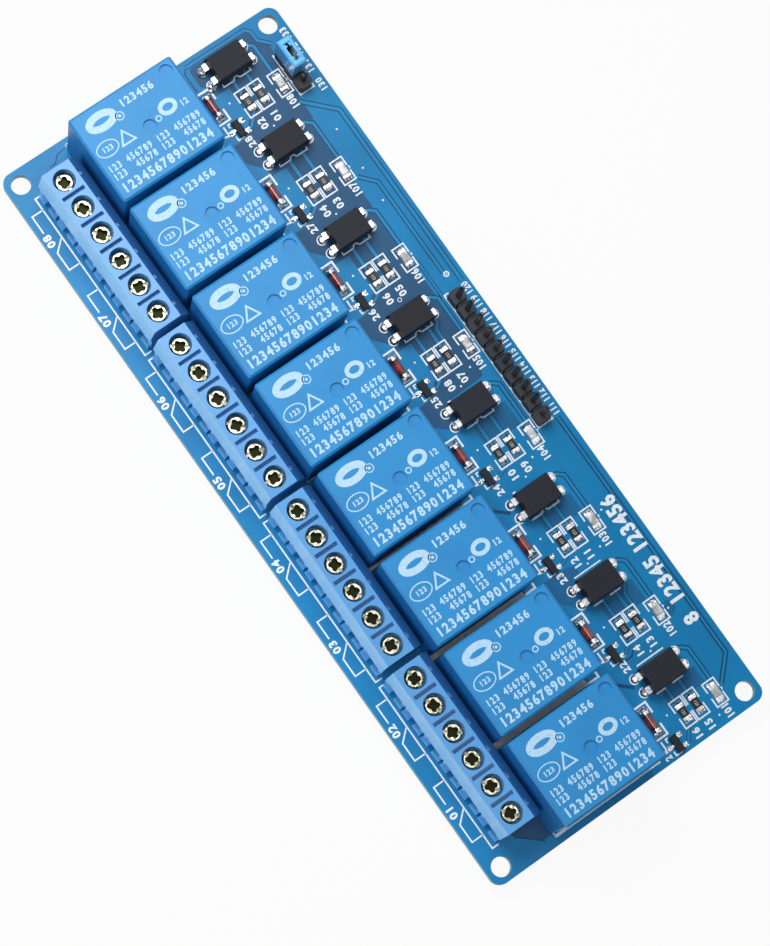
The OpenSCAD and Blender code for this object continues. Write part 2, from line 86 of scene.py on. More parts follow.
class NodeSheet:
    """Short names for building one material's nodes.

    Args:
        name: Name of the new material.
    """

    def __init__(self, name: str) -> None:
        """Make an empty node material with a shader joined to its output."""
        self.material = bpy.data.materials.new(name)
        self.material.use_nodes = True
        self.tree = self.material.node_tree
        self.tree.nodes.clear()
        self.shader = self.add("ShaderNodeBsdfPrincipled")
        output = self.add("ShaderNodeOutputMaterial")
        self.join(self.shader, "BSDF", output, "Surface")
        self.place = self.add("ShaderNodeTexCoord")

    def add(self, kind: str, **values: object) -> bpy.types.Node:
        """Add a node and set its attributes.

        Args:
            kind: Blender's name of the node.
            **values: Attributes of the node.

        Returns:
            The new node.
        """
        node = self.tree.nodes.new(kind)
        for key, value in values.items():
            setattr(node, key, value)
        return node

    def join(self, a: bpy.types.Node, out: str, b: bpy.types.Node, into: str | int) -> None:
        """Link an output of one node to an input of another."""
        self.tree.links.new(a.outputs[out], b.inputs[into])

    def set(self, **values: object) -> None:
        """Set sockets of the shader, with underscores for spaces in their names."""
        for key, value in values.items():
            self.shader.inputs[key.replace("_", " ")].default_value = value

    def noise(self, per_mm: float, detail: float = 3.0, stretch: Vector | None = None) -> bpy.types.Node:
        """Add a noise pattern on the piece's own coordinates.

        Args:
            per_mm: How many waves fit in a millimetre.
            detail: Octaves of finer noise.
            stretch: Scale along each axis, or None for the same all round.

        Returns:
            The noise node.
        """
        noise = self.add("ShaderNodeTexNoise")
        noise.inputs["Scale"].default_value = per_mm / MM
        noise.inputs["Detail"].default_value = detail
        if stretch is None:
            self.join(self.place, "Object", noise, "Vector")
        else:
            mapping = self.add("ShaderNodeMapping")
            mapping.inputs["Scale"].default_value = stretch
            self.join(self.place, "Object", mapping, "Vector")
            self.join(mapping, "Vector", noise, "Vector")
        return noise

    def ramp(self, source: bpy.types.Node, out: str, stops: list[tuple[float, Colour]]) -> bpy.types.Node:
        """Turn a value into a colour.

        Args:
            source: Node whose output is read.
            out: Name of that output.
            stops: Pairs of position and RGB colour, lowest first.

        Returns:
            The ramp node.
        """
        ramp = self.add("ShaderNodeValToRGB")
        elements = ramp.color_ramp.elements
        while len(elements) < len(stops):
            elements.new(0.5)
        for element, (position, colour) in zip(elements, stops):
            element.position = position
            element.color = (*colour, 1.0)
        self.join(source, out, ramp, "Fac")
        return ramp

    def range(self, source: bpy.types.Node, out: str, low: float, high: float) -> bpy.types.Node:
        """Map an output running from 0 to 1 onto another range.

        Args:
            source: Node whose output is read.
            out: Name of that output.
            low: What 0 becomes.
            high: What 1 becomes.

        Returns:
            The mapping node.
        """
        node = self.add("ShaderNodeMapRange")
        node.inputs["To Min"].default_value = low
        node.inputs["To Max"].default_value = high
        self.join(source, out, node, "Value")
        return node

    def maths(self, operation: str, source: bpy.types.Node, out: str, *values: float) -> bpy.types.Node:
        """Add a sum on an output.

        Args:
            operation: Blender's name of the sum.
            source: Node whose output is read.
            out: Name of that output.
            *values: Values of the sum's further inputs.

        Returns:
            The node that does the sum.
        """
        node = self.add("ShaderNodeMath", operation=operation)
        self.join(source, out, node, 0)
        for k, value in enumerate(values):
            node.inputs[k + 1].default_value = value
        return node

    def split(self, out: str) -> bpy.types.Node:
        """Split the piece's own coordinates or normal into X, Y and Z.

        Args:
            out: Object for the coordinates, or Normal.

        Returns:
            The node whose outputs are X, Y and Z.
        """
        split = self.add("ShaderNodeSeparateXYZ")
        self.join(self.place, out, split, "Vector")
        return split

    def along(self, axis: str) -> bpy.types.Node:
        """Return a node whose output Value is the piece's own X, Y or Z in millimetres."""
        return self.maths("DIVIDE", self.split("Object"), axis, MM)

    def between(self, source: bpy.types.Node, out: str, none: float, full: float) -> bpy.types.Node:
        """Turn an output into a share that runs from 0 to 1.

        Args:
            source: Node whose output is read.
            out: Name of that output.
            none: Where the share is 0.
            full: Where the share is 1.

        Returns:
            The mapping node, with the share as its output Result.
        """
        node = self.range(source, out, 0.0, 1.0)
        node.inputs["From Min"].default_value = none
        node.inputs["From Max"].default_value = full
        return node

    def blend(self, share: bpy.types.Node, plain: bpy.types.NodeSocket,
              other: Colour) -> bpy.types.NodeSocket:
        """Mix a colour with another by a share.

        Args:
            share: Node whose output Result is the other colour's share.
            plain: Socket of the first colour.
            other: Linear RGB of the other colour.

        Returns:
            The socket of the mixed colour.
        """
        mix = self.add("ShaderNodeMix", data_type="RGBA")
        mix.inputs["B"].default_value = (*other, 1.0)
        self.join(share, "Result", mix, "Factor")
        self.tree.links.new(plain, mix.inputs["A"])
        return mix.outputs["Result"]

    def paint(self, colour: bpy.types.NodeSocket) -> None:
        """Give the shader its colour."""
        self.tree.links.new(colour, self.shader.inputs["Base Color"])

    def bump(self, source: bpy.types.Node, depth_mm: float, strength: float) -> None:
        """Raise the surface by a noise pattern.

        Args:
            source: The noise node.
            depth_mm: Depth of the pattern.
            strength: Share of it that shows.
        """
        bump = self.add("ShaderNodeBump")
        bump.inputs["Strength"].default_value = strength
        bump.inputs["Distance"].default_value = depth_mm * MM
        self.join(source, "Fac", bump, "Height")
        self.join(bump, "Normal", self.shader, "Normal")


def shade(colour: Colour, factor: float) -> Colour:
    """Return a colour made lighter or darker by a factor."""
    return tuple(min(1.0, c * factor) for c in colour)


@dataclass(frozen=True)
class Moulding:
    """Moulded plastic with a fine spark-eroded grain and soft blotches of shade.

    Args:
        name: Name of the finish.
        colour: Linear RGB.
        roughness: Mean roughness.
        grain: Depth of the grain in millimetres.
        spread: How far the shade wanders, as a share.
        shine: Level of the surface's reflection.
        front: Linear RGB painted on the walls that face -Y, as painted light or shade, or None.
        back: Linear RGB painted on the walls that face +Y, as painted shade, or None.
    """

    name: str
    colour: Colour
    roughness: float
    grain: float = 0.012
    spread: float = 0.06
    shine: float = 0.25
    front: Colour | None = None
    back: Colour | None = None

    def material(self) -> bpy.types.Material:
        """Build the material.

        Returns:
            The new material.
        """
        sheet = NodeSheet(self.name)
        cloud = sheet.noise(0.12, 2.0)
        ramp = sheet.ramp(cloud, "Fac", [(0.3, shade(self.colour, 1 - self.spread)),
                                         (0.7, shade(self.colour, 1 + self.spread))])
        colour = ramp.outputs["Color"]
        # Painted light and shade: walls are blended towards the front or back colour by which way they face,
        # not by the lamps.
        for wall, way in ((self.front, -0.9), (self.back, 0.9)):
            if wall is not None:
                share = sheet.between(sheet.split("Normal"), "Y", way * 0.55, way)
                colour = sheet.blend(share, colour, wall)
        sheet.paint(colour)
        fine = sheet.noise(4.0, 2.0)
        rough = sheet.range(fine, "Fac", self.roughness - 0.06, self.roughness + 0.08)
        sheet.join(rough, "Result", sheet.shader, "Roughness")
        sheet.bump(sheet.noise(7.0, 3.0), self.grain, 0.35)
        sheet.set(Specular_IOR_Level=self.shine)
        return sheet.material


@dataclass(frozen=True)
class SolderMask:
    """Lacquer over glass laminate: slightly uneven, glossy, with pale laminate at cut edges.

    Args:
        name: Name of the finish.
        colour: Linear RGB of the lacquer.
        roughness: Mean roughness.
        edge: Linear RGB of the cut edge, or None for the lacquer's own.
    """

    name: str
    colour: Colour
    roughness: float
    edge: Colour | None = None

    def material(self) -> bpy.types.Material:
        """Build the material.

        Returns:
            The new material.
        """
        sheet = NodeSheet(self.name)
        cloud = sheet.noise(0.09, 3.0)
        top = sheet.ramp(cloud, "Fac", [(0.32, shade(self.colour, 0.9)), (0.68, shade(self.colour, 1.1))])
        weave = sheet.noise(1.6, 2.0, Vector((1.0, 0.25, 1.0)))
        flat = sheet.maths("ABSOLUTE", sheet.split("Normal"), "Z")
        cut = sheet.range(flat, "Value", 1.0, 0.0)
        sheet.paint(sheet.blend(cut, top.outputs["Color"], self.edge or self.colour))
        rough = sheet.range(weave, "Fac", self.roughness - 0.06, self.roughness + 0.08)
        sheet.join(rough, "Result", sheet.shader, "Roughness")
        sheet.bump(sheet.noise(0.9, 3.0), 0.02, 0.3)
        sheet.set(Specular_IOR_Level=0.15)
        return sheet.material


@dataclass(frozen=True)
class Metal:
    """Plated or bare metal with fine wear and uneven polish.

    Args:
        name: Name of the finish.
        colour: Linear RGB.
        roughness: Mean roughness.
        dull: Linear RGB of its duller patches.
        metallic: Share of metal in the reflection.
        patch_per_mm: How many patches fit in a millimetre.
        recess_shade: Linear RGB of painted shade in its recesses, or None.
        levels: Heights in millimetres between which the painted shade fades out.
    """

    name: str
    colour: Colour
    roughness: float
    dull: Colour
    metallic: float = 1.0
    patch_per_mm: float = 1.2
    recess_shade: Colour | None = None
    levels: tuple[float, float] = (0.0, 1.0)

    def material(self) -> bpy.types.Material:
        """Build the material.

        Returns:
            The new material.
        """
        sheet = NodeSheet(self.name)
        patch = sheet.noise(self.patch_per_mm, 3.0)
        ramp = sheet.ramp(patch, "Fac", [(0.38, self.dull), (0.62, self.colour)])
        colour = ramp.outputs["Color"]
        # Painted shade: below the given heights the colour goes over to the dark recess colour.
        if self.recess_shade is not None:
            low, high = self.levels
            colour = sheet.blend(sheet.between(sheet.along("Z"), "Value", high, low), colour, self.recess_shade)
        sheet.paint(colour)
        rough = sheet.range(patch, "Fac", self.roughness + 0.12, self.roughness - 0.05)
        sheet.join(rough, "Result", sheet.shader, "Roughness")
        sheet.bump(sheet.noise(3.5, 2.0), 0.02, 0.25)
        sheet.set(Metallic=self.metallic)
        return sheet.material


@dataclass(frozen=True)
class Ink:
    """Printed ink that covers a little unevenly.

    Args:
        name: Name of the finish.
        colour: Linear RGB.
        worn: Linear RGB where the ink lies thin.
    """

    name: str
    colour: Colour
    worn: Colour

    def material(self) -> bpy.types.Material:
        """Build the material.

        Returns:
            The new material.
        """
        sheet = NodeSheet(self.name)
        cover = sheet.noise(2.2, 3.0)
        ramp = sheet.ramp(cover, "Fac", [(0.3, self.worn), (0.48, self.colour)])
        sheet.paint(ramp.outputs["Color"])
        rough = sheet.range(cover, "Fac", 0.5, 0.7)
        sheet.join(rough, "Result", sheet.shader, "Roughness")
        sheet.bump(sheet.noise(6.0, 2.0), 0.01, 0.3)
        return sheet.material


@dataclass(frozen=True)
class Glass:
    """Coloured glass or clear resin, with a faint cloud inside.

    Args:
        name: Name of the finish.
        colour: Linear RGB.
        deep: Linear RGB of the darker cloud.
        transmission: Share of light let through.
        roughness: Roughness of the surface.
        ends: First middle, pitch and half length along X of a row of pieces whose ends are
            dark, all in millimetres, or None.
    """

    name: str
    colour: Colour
    deep: Colour
    transmission: float
    roughness: float
    ends: tuple[float, float, float] | None = None

    def material(self) -> bpy.types.Material:
        """Build the material.

        Returns:
            The new material.
        """
        sheet = NodeSheet(self.name)
        cloud = sheet.noise(0.9, 3.0)
        ramp = sheet.ramp(cloud, "Fac", [(0.35, self.deep), (0.65, self.colour)])
        colour = ramp.outputs["Color"]
        if self.ends is not None:
            first, pitch, half = self.ends
            place = sheet.maths("SUBTRACT", sheet.along("X"), "Value", first)
            place = sheet.maths("WRAP", place, "Value", pitch / 2, -pitch / 2)
            reach = sheet.between(sheet.maths("ABSOLUTE", place, "Value"), "Value", half * 0.5, half)
            colour = sheet.blend(reach, colour, shade(self.deep, 0.08))
        sheet.paint(colour)
        rough = sheet.range(cloud, "Fac", self.roughness, self.roughness + 0.08)
        sheet.join(rough, "Result", sheet.shader, "Roughness")
        sheet.set(Transmission_Weight=self.transmission, IOR=1.5, Coat_Weight=0.6, Coat_Roughness=0.05)
        return sheet.material


Finish = Moulding | SolderMask | Metal | Ink | Glass

FINISHES: tuple[Finish, ...] = (
    SolderMask("board", (0.006, 0.206, 0.460), 0.30, edge=(0.05, 0.26, 0.36)),
    # Colour of the copper-free fields, which next to the power header is painted shadow.
    SolderMask("bare_mask_and_shadow", (0.017, 0.087, 0.193), 0.34),
    SolderMask("thin_mask", (0.010, 0.125, 0.290), 0.34),
    SolderMask("gap_mask", (0.006, 0.060, 0.160), 0.34),
    SolderMask("track_mask", (0.010, 0.230, 0.480), 0.28),
    # The front and back colours of these mouldings are painted light and shade: darker relay walls, a painted
    # highlight on the fronts of the terminal blocks and the jumper, and darker backs.
    Moulding("relay_case", (0.019, 0.247, 0.570), 0.36,
             front=(0.006, 0.130, 0.370), back=(0.014, 0.200, 0.520)),
    Moulding("terminal_housing", (0.088, 0.330, 0.680), 0.24, shine=0.35,
             front=(0.280, 0.600, 0.970), back=(0.050, 0.220, 0.540)),
    Moulding("jumper_blue", (0.130, 0.470, 0.880), 0.22, grain=0.006, spread=0.25,
             front=(0.100, 0.480, 0.950)),
    Moulding("black_epoxy", (0.013, 0.015, 0.022), 0.50, grain=0.03, spread=0.12, shine=0.15),
    Moulding("header_black", (0.026, 0.029, 0.036), 0.45, grain=0.015, spread=0.1),
    Moulding("resistor_black", (0.008, 0.008, 0.009), 0.30, grain=0.01, spread=0.1),
    Moulding("lamp_white", (0.62, 0.63, 0.60), 0.50, grain=0.02),
    # The header pins' dark colour is a painted dark reflection of their surroundings; the jumper's clip takes
    # it too.
    Metal("header_pin", (0.10, 0.09, 0.08), 0.30, dull=(0.03, 0.028, 0.025)),
    Metal("tinned_metal", (0.82, 0.83, 0.84), 0.24, dull=(0.34, 0.35, 0.37), patch_per_mm=2.0),
    # The screws' dark recess colour is painted shade in the recesses of their heads.
    Metal("screw_steel", (0.74, 0.73, 0.58), 0.32, dull=(0.15, 0.15, 0.09), patch_per_mm=2.6,
          recess_shade=(0.010, 0.011, 0.005), levels=(9.5, 9.95)),
    Metal("solder", (0.92, 0.93, 0.94), 0.24, dull=(0.07, 0.075, 0.085), metallic=0.9, patch_per_mm=2.4),
    Glass("red_glass", (0.45, 0.055, 0.030), deep=(0.20, 0.014, 0.010), transmission=0.15,
          roughness=0.08, ends=(-58.53, 16.98, 1.35)),
    Glass("lamp_lens", (0.92, 0.93, 0.92), deep=(0.40, 0.41, 0.38), transmission=0.10, roughness=0.12),
    Ink("board_ink", (0.86, 0.90, 0.93), worn=(0.62, 0.74, 0.82)),
    Ink("cover_ink", (0.46, 0.68, 0.86), worn=(0.30, 0.56, 0.82)),
    Ink("chip_ink", (0.45, 0.45, 0.45), worn=(0.30, 0.30, 0.30)),
)

# Nodes that have another finish than their slot's.
NODE_FINISHES: dict[str, str] = {"jumper_clip": "header_pin"}


@dataclass
class PaintShop:
    """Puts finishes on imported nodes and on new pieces.

    Args:
        finishes: The finishes by name.
        made: The materials built so far, by the name of their finish.
    """

    finishes: dict[str, Finish]
    made: dict[str, bpy.types.Material] = field(default_factory=dict)

    def material(self, finish: str) -> bpy.types.Material:
        """Build the material of a finish at its first use.

        Args:
            finish: Name of the finish.

        Returns:
            The material.
        """
        if finish not in self.made:
            self.made[finish] = self.finishes[finish].material()
        return self.made[finish]

    def dress_nodes(self, nodes: dict[str, bpy.types.Object], record: dict) -> None:
        """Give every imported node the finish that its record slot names, or its own.

        Args:
            nodes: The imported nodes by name.
            record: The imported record.
        """
        slots = {s["node"]: s["material_slot"] for s in record["subparts"]}
        for name, node in nodes.items():
            node.data.materials.clear()
            finish = NODE_FINISHES.get(name, slots[name])
            node.data.materials.append(self.material(finish))
            LOG.info("dressed %s as %s", name, finish)

    def finish(self, name: str, mesh: bmesh.types.BMesh, finish: str, slot: str,
               smooth: bool = False) -> bpy.types.Object:
        """Turn a bmesh in millimetres into a piece that rides on the board.

        Args:
            name: Name of the piece.
            mesh: The shape, which is freed.
            finish: Name of its finish.
            slot: The record's material slot that it belongs to; not used.
            smooth: Whether its faces are shaded smooth.

        Returns:
            The finished object.
        """
        bmesh.ops.scale(mesh, vec=Vector((MM, MM, MM)), verts=mesh.verts)
        for face in mesh.faces:
            face.smooth = smooth
        data = bpy.data.meshes.new(name)
        mesh.to_mesh(data)
        mesh.free()
        data.materials.append(self.material(finish))
        piece = bpy.data.objects.new(name, data)
        bpy.context.scene.collection.objects.link(piece)
        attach(piece, BODY)
        LOG.info("made %s with %d faces", name, len(data.polygons))
        return piece


# ------------------------------------------------------------------ layout


def in_row(i: int, count: int, pitch: float) -> float:
    """Return the place of item i in an even row about 0."""
    return (i - (count - 1) / 2) * pitch


@dataclass(frozen=True)
class Layout:
    """Where the parts of the board stand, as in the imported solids, in millimetres.

    Args:
        channels: How many relays and driver circuits there are.
        blocks: How many terminal blocks there are.
        relay_pitch: Distance between relays.
        relay_shift: How far the row of relays stands off the board's middle.
        channel_pitch: Distance between driver circuits.
        block_pitch: Distance between terminal blocks.
        block_shift: How far the row of blocks stands off the board's middle.
        opto_off: Place of an optocoupler along X from the middle of its circuit.
        diode_off: Place of a diode.
        chip_off: Place of the two resistors.
        lamp_off: Place of a lamp.
        transistor_off: Place of a transistor.
        lead: Half the distance between an optocoupler's leads along X.
        opto_y: Row of the optocouplers.
        lamp_y: Row of the lamps.
        transistor_y: Row of the transistors.
        header_y: Row of the two headers.
        opto_shift: How far each optocoupler stands off its place along X.
        chip_shift: How far each circuit's resistors stand off theirs.
        lamp_shift: How far each lamp stands off its place.
    """

    channels: int = 8
    blocks: int = 4
    relay_pitch: float = 16.58
    relay_shift: float = -0.28
    channel_pitch: float = 16.98
    block_pitch: float = 31.2
    block_shift: float = -0.4
    opto_off: float = -4.4
    diode_off: float = 0.9
    chip_off: float = 3.6
    lamp_off: float = 3.85
    transistor_off: float = 6.0
    lead: float = 1.27
    opto_y: float = 14.35
    lamp_y: float = 19.75
    transistor_y: float = 9.90
    header_y: float = 22.55
    opto_shift: tuple[float, ...] = (0.9, -0.45, -0.1, 0, -0.25, 0.4, 0, -0.2)
    chip_shift: tuple[float, ...] = (-0.4, -0.1, 0.1, 0, 0.35, 0.3, 0.15, -0.95)
    lamp_shift: tuple[float, ...] = (-0.4, -0.05, 0.05, -0.1, 0.5, 0.1, 0.45, -0.8)

    def relay_x(self, i: int) -> float:
        """Middle of relay i, counted from the jumper's end."""
        return in_row(i, self.channels, self.relay_pitch) + self.relay_shift

    def block_x(self, i: int) -> float:
        """Middle of terminal block i."""
        return in_row(i, self.blocks, self.block_pitch) + self.block_shift

    def channel_x(self, i: int) -> float:
        """Middle of driver circuit i."""
        return in_row(i, self.channels, self.channel_pitch)

    def opto_x(self, i: int) -> float:
        """Middle of optocoupler i."""
        return self.channel_x(i) + self.opto_off + self.opto_shift[i]

    def diode_x(self, i: int) -> float:
        """Middle of diode i."""
        return self.channel_x(i) + self.diode_off

    def transistor_x(self, i: int) -> float:
        """Middle of transistor i."""
        return self.channel_x(i) + self.transistor_off

    def resistor_x(self, i: int) -> float:
        """Middle of the resistors of circuit i."""
        return self.channel_x(i) + self.chip_off + self.chip_shift[i]

    def lamp_x(self, i: int) -> float:
        """Middle of lamp i."""
        return self.channel_x(i) + self.lamp_off + self.lamp_shift[i]

    def resistor_rows(self) -> tuple[float, float]:
        """The two rows that the resistors stand in."""
        return (self.opto_y - 0.7, self.opto_y + 1.8)


# ------------------------------------------------------------------ flat work


@dataclass
class FlatWork:
    """Thin shapes that lie on a level face: ink, copper and mask.

    Args:
        level: Height of the face in millimetres.
        thick: How far the shapes stand above the face.
        mesh: The shapes so far.
        digits: Flat meshes of the digits used so far.
    """

    level: float
    thick: float = 0.03
    mesh: bmesh.types.BMesh = field(default_factory=bmesh.new)
    digits: dict[str, bpy.types.Mesh] = field(default_factory=dict)

    def stroke(self, points: list[Point], width: float, closed: bool = False) -> None:
        """Draw a mitred line of even width by extruding one edge along a path.

        Args:
            points: Corners of the path.
            width: Width of the line.
            closed: Whether the last point runs on to the first.
        """
        path = [Vector((x, y, self.level + self.thick)) for x, y in points]
        last = len(path) - 1
        sides: list[tuple[Vector, Vector]] = []
        for k, point in enumerate(path):
            before = path[k] - path[k - 1] if k or closed else path[1] - path[0]
            after = path[(k + 1) % len(path)] - point if k < last or closed else point - path[k - 1]
            before, after = before.normalized(), after.normalized()
            middle = before + after
            middle = middle.normalized() if middle.length > 1e-6 else before
            across = Vector((-middle.y, middle.x, 0.0))
            reach = width / 2 / max(MITRE_LIMIT, abs(middle.dot(before)))
            sides.append((point + across * reach, point - across * reach))
        edge = first = self.mesh.edges.new([self.mesh.verts.new(v) for v in sides[0]])
        for (old, _), (left, right) in zip(sides, sides[1:]):
            made = bmesh.ops.extrude_edge_only(self.mesh, edges=[edge])["geom"]
            verts = [g for g in made if isinstance(g, bmesh.types.BMVert)]
            edge = next(g for g in made if isinstance(g, bmesh.types.BMEdge)
                        and all(v in verts for v in g.verts))
            near, far = sorted(verts, key=lambda v: (v.co - old).length)
            near.co, far.co = left, right
        if closed:
            bmesh.ops.bridge_loops(self.mesh, edges=[edge, first])

    def arc(self, x: float, y: float, radius: float, start: float, end: float, width: float,
            steps: int = 14) -> None:
        """Draw part of a ring.

        Args:
            x: Middle along X.
            y: Middle along Y.
            radius: Radius of the line's middle.
            start: Angle in degrees where it starts.
            end: Angle in degrees where it ends.
            width: Width of the line.
            steps: How many straight steps it has.
        """
        points = [(x + radius * math.cos(math.radians(start + (end - start) * k / steps)),
                   y + radius * math.sin(math.radians(start + (end - start) * k / steps)))
                  for k in range(steps + 1)]
        self.stroke(points, width)

    def ring(self, x: float, y: float, rx: float, ry: float, width: float, steps: int = 24) -> None:
        """Draw a whole ring or oval.

        Args:
            x: Middle along X.
            y: Middle along Y.
            rx: Radius along X.
            ry: Radius along Y.
            width: Width of the line.
            steps: How many straight steps it has.
        """
        points = [(x + rx * math.cos(2 * math.pi * k / steps), y + ry * math.sin(2 * math.pi * k / steps))
                  for k in range(steps)]
        self.stroke(points, width, closed=True)

    def disc(self, x: float, y: float, radius: float, steps: int = 16) -> None:
        """Lay down a round spot."""
        place = Matrix.Translation((x, y, self.level + self.thick))
        bmesh.ops.create_circle(self.mesh, cap_ends=True, radius=radius, segments=steps, matrix=place)

    def block(self, x: float, y: float, length: float, width: float) -> None:
        """Lay down a filled rectangle about a middle point."""
        self.stroke([(x - length / 2, y), (x + length / 2, y)], width)

    def area(self, points: list[Point]) -> None:
        """Lay down a filled outline."""
        self.mesh.faces.new([self.mesh.verts.new((x, y, self.level + self.thick)) for x, y in points])

    def glyph(self, digit: str) -> bpy.types.Mesh:
        """Make the flat mesh of one digit at its first use.

        Args:
            digit: The digit.

        Returns:
            Its mesh, with the middle at the origin.
        """
        if digit not in self.digits:
            curve = bpy.data.curves.new("digit", "FONT")
            curve.body = digit
            curve.resolution_u = 2
            curve.offset = DIGIT_SPREAD
            holder = bpy.data.objects.new("digit", curve)
            bpy.context.scene.collection.objects.link(holder)
            graph = bpy.context.evaluated_depsgraph_get()
            mesh = bpy.data.meshes.new_from_object(holder.evaluated_get(graph))
            spots = [v.co for v in mesh.vertices]
            low, high = (Vector([pick(c[k] for c in spots) for k in range(3)]) for pick in (min, max))
            mesh.transform(Matrix.Translation(-(low + high) / 2))
            self.digits[digit] = mesh
            bpy.data.objects.remove(holder)
            bpy.data.curves.remove(curve)
        return self.digits[digit]

    def number(self, text: str, x: float, y: float, height: float, turn: Turn, wide: float = 1.0,
               pitch: float = 0.82) -> None:
        """Print a plain number about a middle point.

        Args:
            text: Digits and spaces.
            x: Middle along X.
            y: Middle along Y.
            height: Height of a digit.
            turn: Which way up it stands.
            wide: Width of a digit against its normal width.
            pitch: Distance between digits, as a share of the height.
        """
        size = height / DIGIT_HEIGHT
        scale = Matrix.Diagonal((size * wide, size, 1, 1))
        spin = Matrix.Rotation(math.radians(turn.value), 4, "Z")
        place = Matrix.Translation((x, y, self.level + self.thick))
        for k, digit in enumerate(text):
            if digit == " ":
                continue
            along = Matrix.Translation((in_row(k, len(text), height * pitch * wide), 0, 0))
            piece = self.glyph(digit).copy()
            piece.transform(place @ spin @ along @ scale)
            self.mesh.from_mesh(piece)
            bpy.data.meshes.remove(piece)

    def solid(self) -> bmesh.types.BMesh:
        """Give the shapes their thickness down to the face.

        Returns:
            The bmesh of the shapes.
        """
        self.mesh.normal_update()
        flipped = [f for f in self.mesh.faces if f.normal.z < 0]
        bmesh.ops.reverse_faces(self.mesh, faces=flipped)
        bmesh.ops.solidify(self.mesh, geom=list(self.mesh.faces), thickness=self.thick * 0.95)
        return self.mesh


# ------------------------------------------------------------------ print


@dataclass
class BoardPrint:
    """White print on the board: outlines, contact symbols and plain numbers.

    Args:
        layout: Places of the parts.
        level: Height of the board's face.
        line: Width of a normal line.
        fine: Width of a thin line.
        frame: Width of the long lines round the headers and before the blocks.
        heavy: Width of a heavy line.
        digit: Height of a normal digit.
        gap_x: Middle of the first gap between relays along X.
    """

    layout: Layout
    level: float
    line: float = 0.24
    fine: float = 0.16
    frame: float = 0.26
    heavy: float = 0.3
    digit: float = 1.25
    gap_x: float = -52.48

    def brackets(self, work: FlatWork, x: float, y: float, length: float, width: float, gap: float) -> None:
        """Draw two brackets that face each other round a small part.

        Args:
            work: The print.
            x: Middle along X.
            y: Middle along Y.
            length: Outer length along X.
            width: Outer width along Y.
            gap: Open stretch in the middle of the long sides.
        """
        for side in (-1, 1):
            near, far = x + side * gap / 2, x + side * length / 2
            work.stroke([(near, y + width / 2), (far, y + width / 2), (far, y - width / 2),
                         (near, y - width / 2)], self.line)

    def channel(self, work: FlatWork, i: int) -> None:
        """Print the outlines and numbers of one driver circuit.

        Args:
            work: The print.
            i: Which circuit.
        """
        lay = self.layout
        last = i == lay.channels - 1
        number = lay.channels - i
        x = lay.resistor_x(i)
        for row, y in enumerate(lay.resistor_rows()):
            self.brackets(work, x, y, 4.72, 2.16, 1.0)
            shift = 4.0 if last else 4.15
            work.number(f"{2 * i + 2 - row:02d}", x + shift, y, self.digit, Turn.UPSIDE_DOWN)
        x = lay.lamp_x(i)
        self.brackets(work, x, lay.lamp_y, 4.25, 2.2, 0.95)
        tip = lay.lamp_y + 1.1
        work.stroke([(x - 0.25, tip), (x, tip + 0.22), (x + 0.25, tip)], self.fine)
        shift = 3.42 if last else 3.6
        work.number(f"10{number}", x + shift, lay.lamp_y, self.digit, Turn.UPSIDE_DOWN, 0.85)
        x = lay.diode_x(i)
        for side in (-1, 1):
            work.stroke([(x + side * 1.0, 9.72), (x + side * 3.0, 9.72), (x + side * 3.0, 7.4)], 0.32)
        x = lay.transistor_x(i)
        work.stroke([(x + 1.5, 10.0), (x + 1.5, 8.85), (x + 0.75, 8.85)], self.line)
        work.stroke([(x - 1.5, 9.3), (x - 1.5, 8.85), (x - 0.85, 8.85)], self.line)
        work.stroke([(x - 1.6, 8.03), (x + 0.12, 8.03), (x - 0.08, 7.2)], self.heavy)
        if last:
            work.number("21", 66.15, 7.6, 1.15, Turn.UPSIDE_DOWN, 0.9)
        else:
            work.number(f"2{number}", x + 2.7, 10.3, 1.2, Turn.UPSIDE_DOWN)
        self.coupler(work, i)

    def coupler(self, work: FlatWork, i: int) -> None:
        """Print the outline beside one optocoupler and the rings round its pads.

        Args:
            work: The print.
            i: Which optocoupler.
        """
        x, y = self.layout.opto_x(i), self.layout.opto_y
        side, low, high = x + 2.57, 11.92, 17.1
        if i < 6:
            work.stroke([(side - 0.5, low), (side, low), (side, y - 0.45)], self.line)
            work.stroke([(side - 0.5, high), (side, high), (side, y + 0.65)], self.line)
            work.arc(side, y + 0.1, 0.5, 90, 270, self.line, 10)
        else:
            for edge, cut in ((side, 0.7), (x - 2.75, 0.0)):
                work.stroke([(edge, low), (edge, y - cut)], self.line)
                work.stroke([(edge, y + cut), (edge, high)], self.line)
        if i in (4, 5):
            work.stroke([(x - 2.6, low + 0.4), (x - 2.6, low), (x + 2.5, low)], self.line)
        for lead in (-self.layout.lead, self.layout.lead):
            work.arc(x + lead, y - 3.9, 0.74, 160, 380, 0.28, 16)
            work.arc(x + lead, y + 3.85, 0.72, -30, 210, self.heavy, 16)

    def contacts(self, work: FlatWork) -> None:
        """Print the long line before each block and the two changeover symbols in front of it.

        Args:
            work: The print.
        """
        lay = self.layout
        row, foot = -23.22, -25.25
        reach, symbol_pitch = 15.1, 15.27
        for b in range(lay.blocks):
            middle = lay.block_x(b) + 0.45
            left, right = middle - reach, middle + reach
            work.stroke([(left, -22.4), (left, row), (right, row), (right, -22.0)], self.frame)
            for k in range(2):
                x = left + 2.12 + symbol_pitch * k
                work.stroke([(x, row), (x, foot), (x + 3.2, foot)], self.line)
                work.stroke([(x + 5.25, row - 0.1), (x + 7.0, foot), (x + 10.25, foot), (x + 10.25, row)],
                            self.line)
                work.number(f"0{lay.channels - 2 * b - k}", x + 4.75, foot, 1.3, Turn.UPSIDE_DOWN, 1.1, 0.8)

